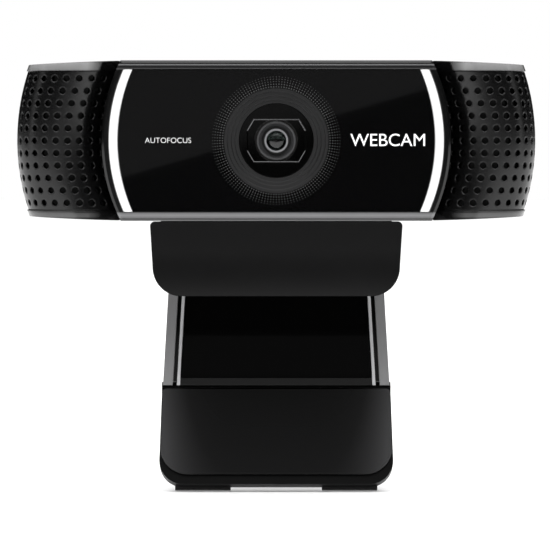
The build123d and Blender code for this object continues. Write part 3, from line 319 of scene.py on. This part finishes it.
rail_plastic = finish(
    "rail_plastic", (0.16, 0.16, 0.163), roughness=0.3, grain=0.0002, depth=0.000002,
    edge=0.0002, Specular_IOR_Level=0.25,
)
rail_taper = 0.051
rail_from, rail_to = 0.0155, 0.0205
highlight_line_at, shaded_groove_at, grey_rail = 0.0164, 0.017, 0.0177
rail_tree = rail_plastic.node_tree
rail_at = own_place(rail_tree)
rail_aside = worked_out(rail_tree, "ABSOLUTE", rail_at["X"])
rail_straight = worked_out(rail_tree, "MULTIPLY_ADD", rail_at["Z"], rail_taper, rail_aside)
# Painted highlight along each rail's inner edge and painted shade in its groove; the grey rail beyond is
# the plastic's own tone.
rail_tone_with_painted_light = banded(
    rail_tree,
    share_between(rail_tree, rail_straight, rail_from, rail_to),
    (
        (0.0, (0.004, 0.004, 0.004)),
        ((highlight_line_at - rail_from) / (rail_to - rail_from), (0.5, 0.5, 0.51)),
        ((shaded_groove_at - rail_from) / (rail_to - rail_from), (0.0015, 0.0015, 0.0015)),
        ((grey_rail - rail_from) / (rail_to - rail_from), (0.22, 0.22, 0.223)),
    ),
    stepped=True,
)
painted(rail_plastic, rail_tone_with_painted_light)
coat(rail_plastic, "arm_frame")

# ---------------------------------------------------------------- arm panel
# A flat black plastic plate, polished like glass, that is bonded into the recess between the arm's
# two rails.
panel_polish = finish(
    "panel_polish", (0.0015, 0.0015, 0.0015), roughness=0.08, grain=0.006, depth=0.0000001,
    Specular_IOR_Level=0.05,
)
coat(panel_polish, "arm_panel")

# ---------------------------------------------------------------- foot
# A black moulding that folds under the arm on its lower pin. Two rubber heels stand out at its lower
# corners, and two small black screws from behind hold the grip pad on it.
foot_polish = finish(
    "foot_polish", (0.0012, 0.0012, 0.0012), roughness=0.42, grain=0.0004, depth=0.000001,
    edge=0.00005, Specular_IOR_Level=0.1,
)
coat(foot_polish, "foot_shell")
coat(liner_rubber, "foot_heels")
black_steel = finish(
    "black_steel", (0.04, 0.04, 0.042), roughness=0.3, grain=0.0002, depth=0.000002, metal=1.0
)
coat(black_steel, "foot_screws")

# ---------------------------------------------------------------- grip pad on the foot
# A soft-touch satin rubber pad on the foot's face, that bears on the back of the screen. Two short bosses
# on its back go into the foot and take the screws. Its sides and lower edge are painted paler, a painted
# reflection of the light its curved face would catch.
grip_satin = finish(
    "grip_satin", (0.006, 0.006, 0.0062), roughness=0.26, grain=0.00025, depth=0.0000015,
    edge=0.0003, Specular_IOR_Level=0.1,
)
rim_sharpness = 5.0
low_edge_share = 0.28
pad_low, pad_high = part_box("grip_pad")
pad_tree = grip_satin.node_tree
pad_at = own_place(pad_tree)
pad_across = worked_out(pad_tree, "DIVIDE", pad_at["X"], pad_high[0])
pad_aside = worked_out(pad_tree, "ABSOLUTE", pad_across)
pad_side_sheen = worked_out(pad_tree, "POWER", pad_aside, rim_sharpness)
pad_lower_sheen = share_between(pad_tree, pad_at["Z"], pad_high[2], pad_low[2], full=low_edge_share)
# Painted reflection: the pad's tone lightens towards its sides and its lower edge.
pad_painted_reflection = banded(
    pad_tree,
    worked_out(pad_tree, "ADD", pad_side_sheen, pad_lower_sheen),
    (
        (0.0, (0.0008, 0.0008, 0.0008)),
        (low_edge_share, (0.005, 0.005, 0.0051)),
        (1.0, (0.04, 0.04, 0.041)),
    ),
)
painted(grip_satin, pad_painted_reflection)
coat(grip_satin, "grip_pad")

# ---------------------------------------------------------------- back cover
# The head's main shell, moulded in black and polished. A cap closes each microphone pod above and below,
# with a lighter band painted along it, a painted highlight where its polish would catch the light.
shell_polish = finish(
    "shell_polish", (0.003, 0.003, 0.0031), roughness=0.13, grain=0.0025, depth=0.0000004, edge=0.0003
)
# Painted highlight bands up each cap, lightest near its top and bottom edges.
cap_painted_highlights = (
    (0.0, 0.003), (0.012, 0.006), (0.026, 0.09), (0.045, 0.07), (0.055, 0.003),
    (0.93, 0.003), (0.945, 0.2), (0.985, 0.28), (1.0, 0.05),
)
cap_back_y, cap_front_y = -0.0045, -0.0075
cap_inner_x, cap_outer_x = 0.0315, 0.034
shell_tree = shell_polish.node_tree
shell_low, shell_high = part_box("back_cover")
shell_at = own_place(shell_tree)
shell_up = share_between(shell_tree, shell_at["Z"], shell_low[2], shell_high[2])
cap_highlight_tone = banded(shell_tree, shell_up, [(height, (shade,) * 3) for height, shade in cap_painted_highlights])
cap_ahead = share_between(shell_tree, shell_at["Y"], cap_back_y, cap_front_y)
shell_aside = worked_out(shell_tree, "ABSOLUTE", shell_at["X"])
cap_beyond = share_between(shell_tree, shell_aside, cap_inner_x, cap_outer_x)
cap_highlight_mix = shell_tree.nodes.new("ShaderNodeMix")
cap_highlight_mix.data_type = "RGBA"
cap_factor, shell_tone, cap_highlight_input = (cap_highlight_mix.inputs[slot] for slot in (0, 6, 7))
shell_tone.default_value = (0.003, 0.003, 0.0031, 1)
shell_tree.links.new(worked_out(shell_tree, "MULTIPLY", cap_ahead, cap_beyond), cap_factor)
shell_tree.links.new(cap_highlight_tone, cap_highlight_input)
painted(shell_polish, cap_highlight_mix.outputs[2])
coat(shell_polish, "back_cover")

# ---------------------------------------------------------------- front frame
# A polished black plastic rim round the window. Thin light lines are painted along its top and bottom edges
# as painted highlights of fine chamfers, and its bottom rail is painted lighter than its top as a painted
# reflection.
frame_polish = finish(
    "frame_polish", (0.03, 0.03, 0.031), roughness=0.12, grain=0.0025, depth=0.0000004,
    Specular_IOR_Level=0.35,
)
# Painted highlights: light lines banded up the rim, with a lighter bottom rail as a painted reflection.
frame_painted_highlights = (
    (0.013, 0.004), (0.019, 0.14), (0.035, 0.22), (0.05, 0.14), (0.056, 0.0025), (0.94, 0.0025),
    (0.946, 0.07), (0.955, 0.008), (0.967, 0.015), (0.972, 0.2), (0.978, 0.004), (0.99, 0.001),
)
frame_tree = frame_polish.node_tree
frame_low, frame_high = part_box("front_frame")
frame_at = own_place(frame_tree)
frame_painted_light_tone = banded(
    frame_tree,
    share_between(frame_tree, frame_at["Z"], frame_low[2], frame_high[2]),
    (
        (0.0, (0.16, 0.16, 0.162)),
        *[(height, (shade, shade, shade * 1.02)) for height, shade in frame_painted_highlights],
        (1.0, (0.02, 0.02, 0.0202)),
    ),
)
painted(frame_polish, frame_painted_light_tone)
coat(frame_polish, "front_frame")

# ---------------------------------------------------------------- window
# A black plastic plate, tinted through, hard-coated and polished, with a round hole for the lens
# ring. It is let in flush in the front frame.
window_tint = finish(
    "window_tint", (0.0018, 0.0018, 0.0019), roughness=0.02, grain=0.008, depth=0.00000003, edge=0.00008
)
coat(window_tint, "front_window")

# ---------------------------------------------------------------- light pipes
# Two milky crescents, moulded in a diffusing plastic and let in beside the window. A small lamp
# lights each from behind, brightest along its middle.
pipe_white = finish("pipe_white", (0.4, 0.4, 0.4), roughness=0.3, grain=0.0004, depth=0.000002)
arc_centre_aside = 0.0019
arc_inner, arc_outer = 0.0303, 0.0321
pipe_tree = pipe_white.node_tree
pipe_place = pipe_tree.nodes.new("ShaderNodeTexCoord")
pipe_mirrored = pipe_tree.nodes.new("ShaderNodeVectorMath")
pipe_mirrored.operation = "ABSOLUTE"
pipe_from_centre = pipe_tree.nodes.new("ShaderNodeVectorMath")
pipe_from_centre.operation = "ADD"
pipe_from_centre.inputs[1].default_value = (arc_centre_aside, 0, -eye_height)
pipe_flat = pipe_tree.nodes.new("ShaderNodeVectorMath")
pipe_flat.operation = "MULTIPLY"
pipe_flat.inputs[1].default_value = (1, 0, 1)
pipe_reach = pipe_tree.nodes.new("ShaderNodeVectorMath")
pipe_reach.operation = "LENGTH"
pipe_tree.links.new(pipe_place.outputs["Object"], pipe_mirrored.inputs[0])
pipe_tree.links.new(pipe_mirrored.outputs["Vector"], pipe_from_centre.inputs[0])
pipe_tree.links.new(pipe_from_centre.outputs["Vector"], pipe_flat.inputs[0])
pipe_tree.links.new(pipe_flat.outputs["Vector"], pipe_reach.inputs[0])
pipe_glow = banded(
    pipe_tree,
    share_between(pipe_tree, pipe_reach.outputs["Value"], arc_inner, arc_outer),
    ((0.0, (0.12, 0.12, 0.12)), (0.3, (1, 1, 1)), (0.72, (1, 1, 1)), (1.0, (0.12, 0.12, 0.12))),
)
painted(pipe_white, pipe_glow, socket="Emission Color")
pipe_tree.nodes["Principled BSDF"].inputs["Emission Strength"].default_value = 1.0
coat(pipe_white, "light_pipe_right", "light_pipe_left")

# ---------------------------------------------------------------- lettering on the window
# Two plain words screen-printed on the window in white ink, one each side of the lens. The ink lies
# a hair's breadth above the hard coat.
ink_white_painted_glow = finish("ink_white_painted_glow", (0.85, 0.85, 0.85), roughness=0.5, grain=0.0001, depth=0.000001)
# The ink is given a faint glow of its own, painted light that keeps the letters bright.
ink_white_painted_glow.node_tree.nodes["Principled BSDF"].inputs["Emission Color"].default_value = (1, 1, 1, 1)
ink_white_painted_glow.node_tree.nodes["Principled BSDF"].inputs["Emission Strength"].default_value = 0.35
window_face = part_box("front_window")[0][1]
ink_thickness = 0.00001


def printed_word(name, words, middle_x, width, swell):
    """A flat printed word, centred at a place on the window and fitted to a width."""
    letters = bpy.data.curves.new(name, "FONT")
    letters.body = words
    letters.align_x = "CENTER"
    letters.align_y = "CENTER"
    letters.size = 0.003
    letters.extrude = ink_thickness
    letters.offset = swell
    word = bpy.data.objects.new(name, letters)
    bpy.context.scene.collection.objects.link(word)
    bpy.context.view_layer.update()
    letters.size *= width / word.dimensions[0]
    word.location = (middle_x, window_face - 2 * ink_thickness, eye_height)
    word.rotation_euler = (math.pi / 2, 0, 0)
    letters.materials.append(ink_white_painted_glow)
    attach(word, "camera_head")


printed_word("print_left", "AUTOFOCUS", middle_x=-0.0194, width=0.0083, swell=-0.00002)
printed_word("print_right", "WEBCAM", middle_x=0.0201, width=0.0134, swell=0.0)

# ---------------------------------------------------------------- printed dots round the lens
# Five rings of tiny oval dots, printed on the window in grey ink just outside the lens ring. The
# dots are smaller in each ring further out.
dash_rows = (
    (0.00965, 0.00013), (0.01012, 0.00012), (0.01058, 0.0001), (0.01102, 0.00009), (0.01143, 0.00007),
)
dashes_in_row = 132
dash_sides = 8
dash_narrow = 0.8
dash_y = window_face - ink_thickness
dash_mesh = bpy.data.meshes.new("printed_dots")
dash_corners, dash_faces = [], []
for row_radius, dash_half in dash_rows:
    for step in range(dashes_in_row):
        turn = math.tau * step / dashes_in_row
        out = Vector((math.cos(turn), 0, math.sin(turn)))
        along = Vector((-math.sin(turn), 0, math.cos(turn)))
        middle = Vector((0, dash_y, eye_height)) + out * row_radius
        first = len(dash_corners)
        for point in range(dash_sides):
            angle = math.tau * point / dash_sides
            outward = out * dash_half * math.cos(angle)
            sideways = along * dash_half * dash_narrow * math.sin(angle)
            dash_corners.append(middle + outward + sideways)
        dash_faces.append(tuple(range(first, first + dash_sides)))
dash_mesh.from_pydata(dash_corners, [], dash_faces)
printed_dots = bpy.data.objects.new("printed_dots", dash_mesh)
bpy.context.scene.collection.objects.link(printed_dots)
ink_grey = finish("ink_grey", (0.042, 0.042, 0.042), roughness=0.5, grain=0.0001, depth=0.000001)
dash_mesh.materials.append(ink_grey)
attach(printed_dots, "camera_head")

# ---------------------------------------------------------------- lens ring and shroud
# A satin ring stepped down in fine circles towards the lens, and behind it a flat black shroud with
# an eight-sided recess for the moving barrel.
ring_satin = finish(
    "ring_satin", (0.015, 0.015, 0.0153), roughness=0.3, grain=0.0003, depth=0.000001,
    edge=0.0001, Specular_IOR_Level=0.22,
)
coat(ring_satin, "lens_ring")
shroud_black = finish(
    "shroud_black", (0.0006, 0.0006, 0.0006), roughness=0.05, grain=0.004, depth=0.00000005
)
coat(shroud_black, "lens_shroud")

# ---------------------------------------------------------------- painted highlight along the shroud's recess
# A thin light strip laid on the shroud along the top and bottom of the eight-sided recess, a painted
# highlight standing in for the glint of a fine chamfer. It dies out at the recess's upright sides.
recess_half_width, recess_half_height = 0.00515, 0.00373
recess_cut_x, recess_cut_z = 0.00115, 0.00195
rim_width = 0.00007
rim_lift = 0.00001
rim_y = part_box("lens_shroud")[0][1] - rim_lift
rim_path = [
    (-recess_half_width, recess_half_height - recess_cut_z),
    (-recess_half_width + recess_cut_x, recess_half_height),
    (recess_half_width - recess_cut_x, recess_half_height),
    (recess_half_width, recess_half_height - recess_cut_z),
]
rim_grown = 1 + rim_width / recess_half_height
rim_mesh = bpy.data.meshes.new("recess_painted_highlight")
rim_corners, rim_faces = [], []
for way in (1, -1):
    first = len(rim_corners)
    for x, z in rim_path:
        rim_corners.append((x, rim_y, eye_height + way * z))
        rim_corners.append((x * rim_grown, rim_y, eye_height + way * z * rim_grown))
    for step in range(len(rim_path) - 1):
        near = first + 2 * step
        rim_faces.append((near, near + 1, near + 3, near + 2)[::way])
rim_mesh.from_pydata(rim_corners, [], rim_faces)
recess_painted_highlight = bpy.data.objects.new("recess_painted_highlight", rim_mesh)
bpy.context.scene.collection.objects.link(recess_painted_highlight)
painted_chamfer_highlight = finish(
    "painted_chamfer_highlight", (0.16, 0.16, 0.165), roughness=0.3, grain=0.0001, depth=0.000001
)
rim_mesh.materials.append(painted_chamfer_highlight)
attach(recess_painted_highlight, "camera_head")

# ---------------------------------------------------------------- lens barrel
# A turned barrel that moves in and out to focus. Its face steps out from the dark mouth: a retaining ring
# painted bright as a painted highlight of its bevel, a black groove, then a dull outer land.
barrel_satin = finish(
    "barrel_satin", (0.03, 0.03, 0.031), roughness=0.3, grain=0.0002, depth=0.000001,
    metal=0.4, edge=0.00006,
)
barrel_span = 0.004
highlight_ring_from, groove_from, land_from = 0.0018, 0.00212, 0.0026
barrel_tree = barrel_satin.node_tree
barrel_place = barrel_tree.nodes.new("ShaderNodeTexCoord")
barrel_flat = barrel_tree.nodes.new("ShaderNodeVectorMath")
barrel_flat.operation = "MULTIPLY_ADD"
barrel_flat.inputs[1].default_value = (1, 0, 1)
barrel_flat.inputs[2].default_value = (0, 0, -eye_height)
barrel_reach = barrel_tree.nodes.new("ShaderNodeVectorMath")
barrel_reach.operation = "LENGTH"
barrel_tree.links.new(barrel_place.outputs["Object"], barrel_flat.inputs[0])
barrel_tree.links.new(barrel_flat.outputs["Vector"], barrel_reach.inputs[0])
# The bright retaining ring is a painted highlight of the lens's front bevel.
barrel_tone_with_highlight = banded(
    barrel_tree,
    share_between(barrel_tree, barrel_reach.outputs["Value"], 0.0, barrel_span),
    (
        (0.0, (0.002, 0.002, 0.002)),
        (highlight_ring_from / barrel_span, (0.25, 0.25, 0.26)),
        (groove_from / barrel_span, (0.0015, 0.0015, 0.0015)),
        (land_from / barrel_span, (0.06, 0.06, 0.062)),
    ),
    stepped=True,
)
painted(barrel_satin, barrel_tone_with_highlight)
coat(barrel_satin, "lens_barrel")

# ---------------------------------------------------------------- lenses and focus coil
# Coated glass lenses held in the barrel, the front one a little clearer than those behind it. The
# coil round the barrel is wound in enamelled copper wire.
lens_glass = finish(
    "lens_glass", (0.14, 0.19, 0.17), roughness=0.02, grain=0.01, depth=0.00000001,
    edge=0.00001, Transmission_Weight=1.0, IOR=1.52,
)
coat(lens_glass, "front_lens")
inner_glass = finish(
    "inner_glass", (0.03, 0.045, 0.04), roughness=0.02, grain=0.01, depth=0.00000001,
    edge=0.00001, Transmission_Weight=1.0, IOR=1.52,
)
coat(inner_glass, "inner_lenses")
coil_enamel = finish("coil_enamel", (0.012, 0.007, 0.005), roughness=0.3, grain=0.0001, depth=0.000002)
coat(coil_enamel, "focus_coil")

# ---------------------------------------------------------------- microphone grilles and cloth
# Perforated satin black mouldings, one wrapped round the front of each pod. Black acoustic cloth is
# bonded behind their holes.
grille_satin = finish(
    "grille_satin", (0.0015, 0.0015, 0.0016), roughness=0.24, grain=0.00018, depth=0.0000012,
    edge=0.0004, Specular_IOR_Level=0.45,
)
coat(grille_satin, "grille_right", "grille_left")
acoustic_cloth = finish("acoustic_cloth", (0.004, 0.004, 0.004), roughness=0.9, grain=0.0001, depth=0.00003)
coat(acoustic_cloth, "grille_cloth_right", "grille_cloth_left")

# ---------------------------------------------------------------- circuit boards
# Boards under green solder mask, inside the head: the main board, the sensor's, one behind each
# microphone and one behind each light pipe.
solder_mask = finish("solder_mask", (0.01, 0.1, 0.04), roughness=0.35, grain=0.0004, depth=0.000008)
coat(solder_mask, "main_board", "sensor_board", "microphone_boards", "led_boards")

# ---------------------------------------------------------------- chips and moulded housings
# Black epoxy and filled-plastic parts: the processor, its memory and the capacitors soldered on the
# boards, and the housing and filter carrier of the focus module.
chip_epoxy = finish("chip_epoxy", (0.02, 0.02, 0.022), roughness=0.55, grain=0.0001, depth=0.000004)
coat(chip_epoxy, "video_processor", "memory_chips", "capacitors", "focus_housing", "filter_carrier")

# ---------------------------------------------------------------- connectors and indicator lamps
# Sockets in natural nylon on the boards, and the small indicator lamps behind the light pipes, which
# are given the same pale finish.
nylon_natural = finish("nylon_natural", (0.7, 0.66, 0.55), roughness=0.5, grain=0.0002, depth=0.000004)
coat(nylon_natural, "board_connector", "cable_header", "indicator_leds")

# ---------------------------------------------------------------- shield can, microphones and magnets
# Bright plated metal parts: the screening can on the main board, the microphones' drawn cans in
# their rubber boots, and the plated magnets round the focus coil.
tinned_steel = finish(
    "tinned_steel", (0.6, 0.6, 0.6), roughness=0.35, grain=0.0003, depth=0.000003, metal=1.0
)
coat(tinned_steel, "shield_can", "microphone_right", "microphone_left", "focus_magnets")
coat(liner_rubber, "microphone_boot_right", "microphone_boot_left")

# ---------------------------------------------------------------- sensor and infrared filter
# The covered silicon sensor on its board, behind a thin blue-tinted glass in a carrier, that keeps
# infrared light from it.
filter_blue = finish(
    "filter_blue", (0.4, 0.6, 0.8), roughness=0.05, grain=0.001, depth=0.0000002, Transmission_Weight=0.8
)
coat(filter_blue, "ir_filter", "image_sensor")

# ---------------------------------------------------------------- screws, bracket and cable inlet
# Black steel screws hold the shell and the bracket. The bracket is pressed in painted steel and
# carries the head; the cable comes in through a rubber sleeve.
coat(black_steel, "shell_screws", "bracket_screws")
bracket_coat = finish("bracket_coat", (0.02, 0.02, 0.02), roughness=0.4, grain=0.0002, depth=0.000004)
coat(bracket_coat, "tilt_bracket")
coat(liner_rubber, "cable_inlet")
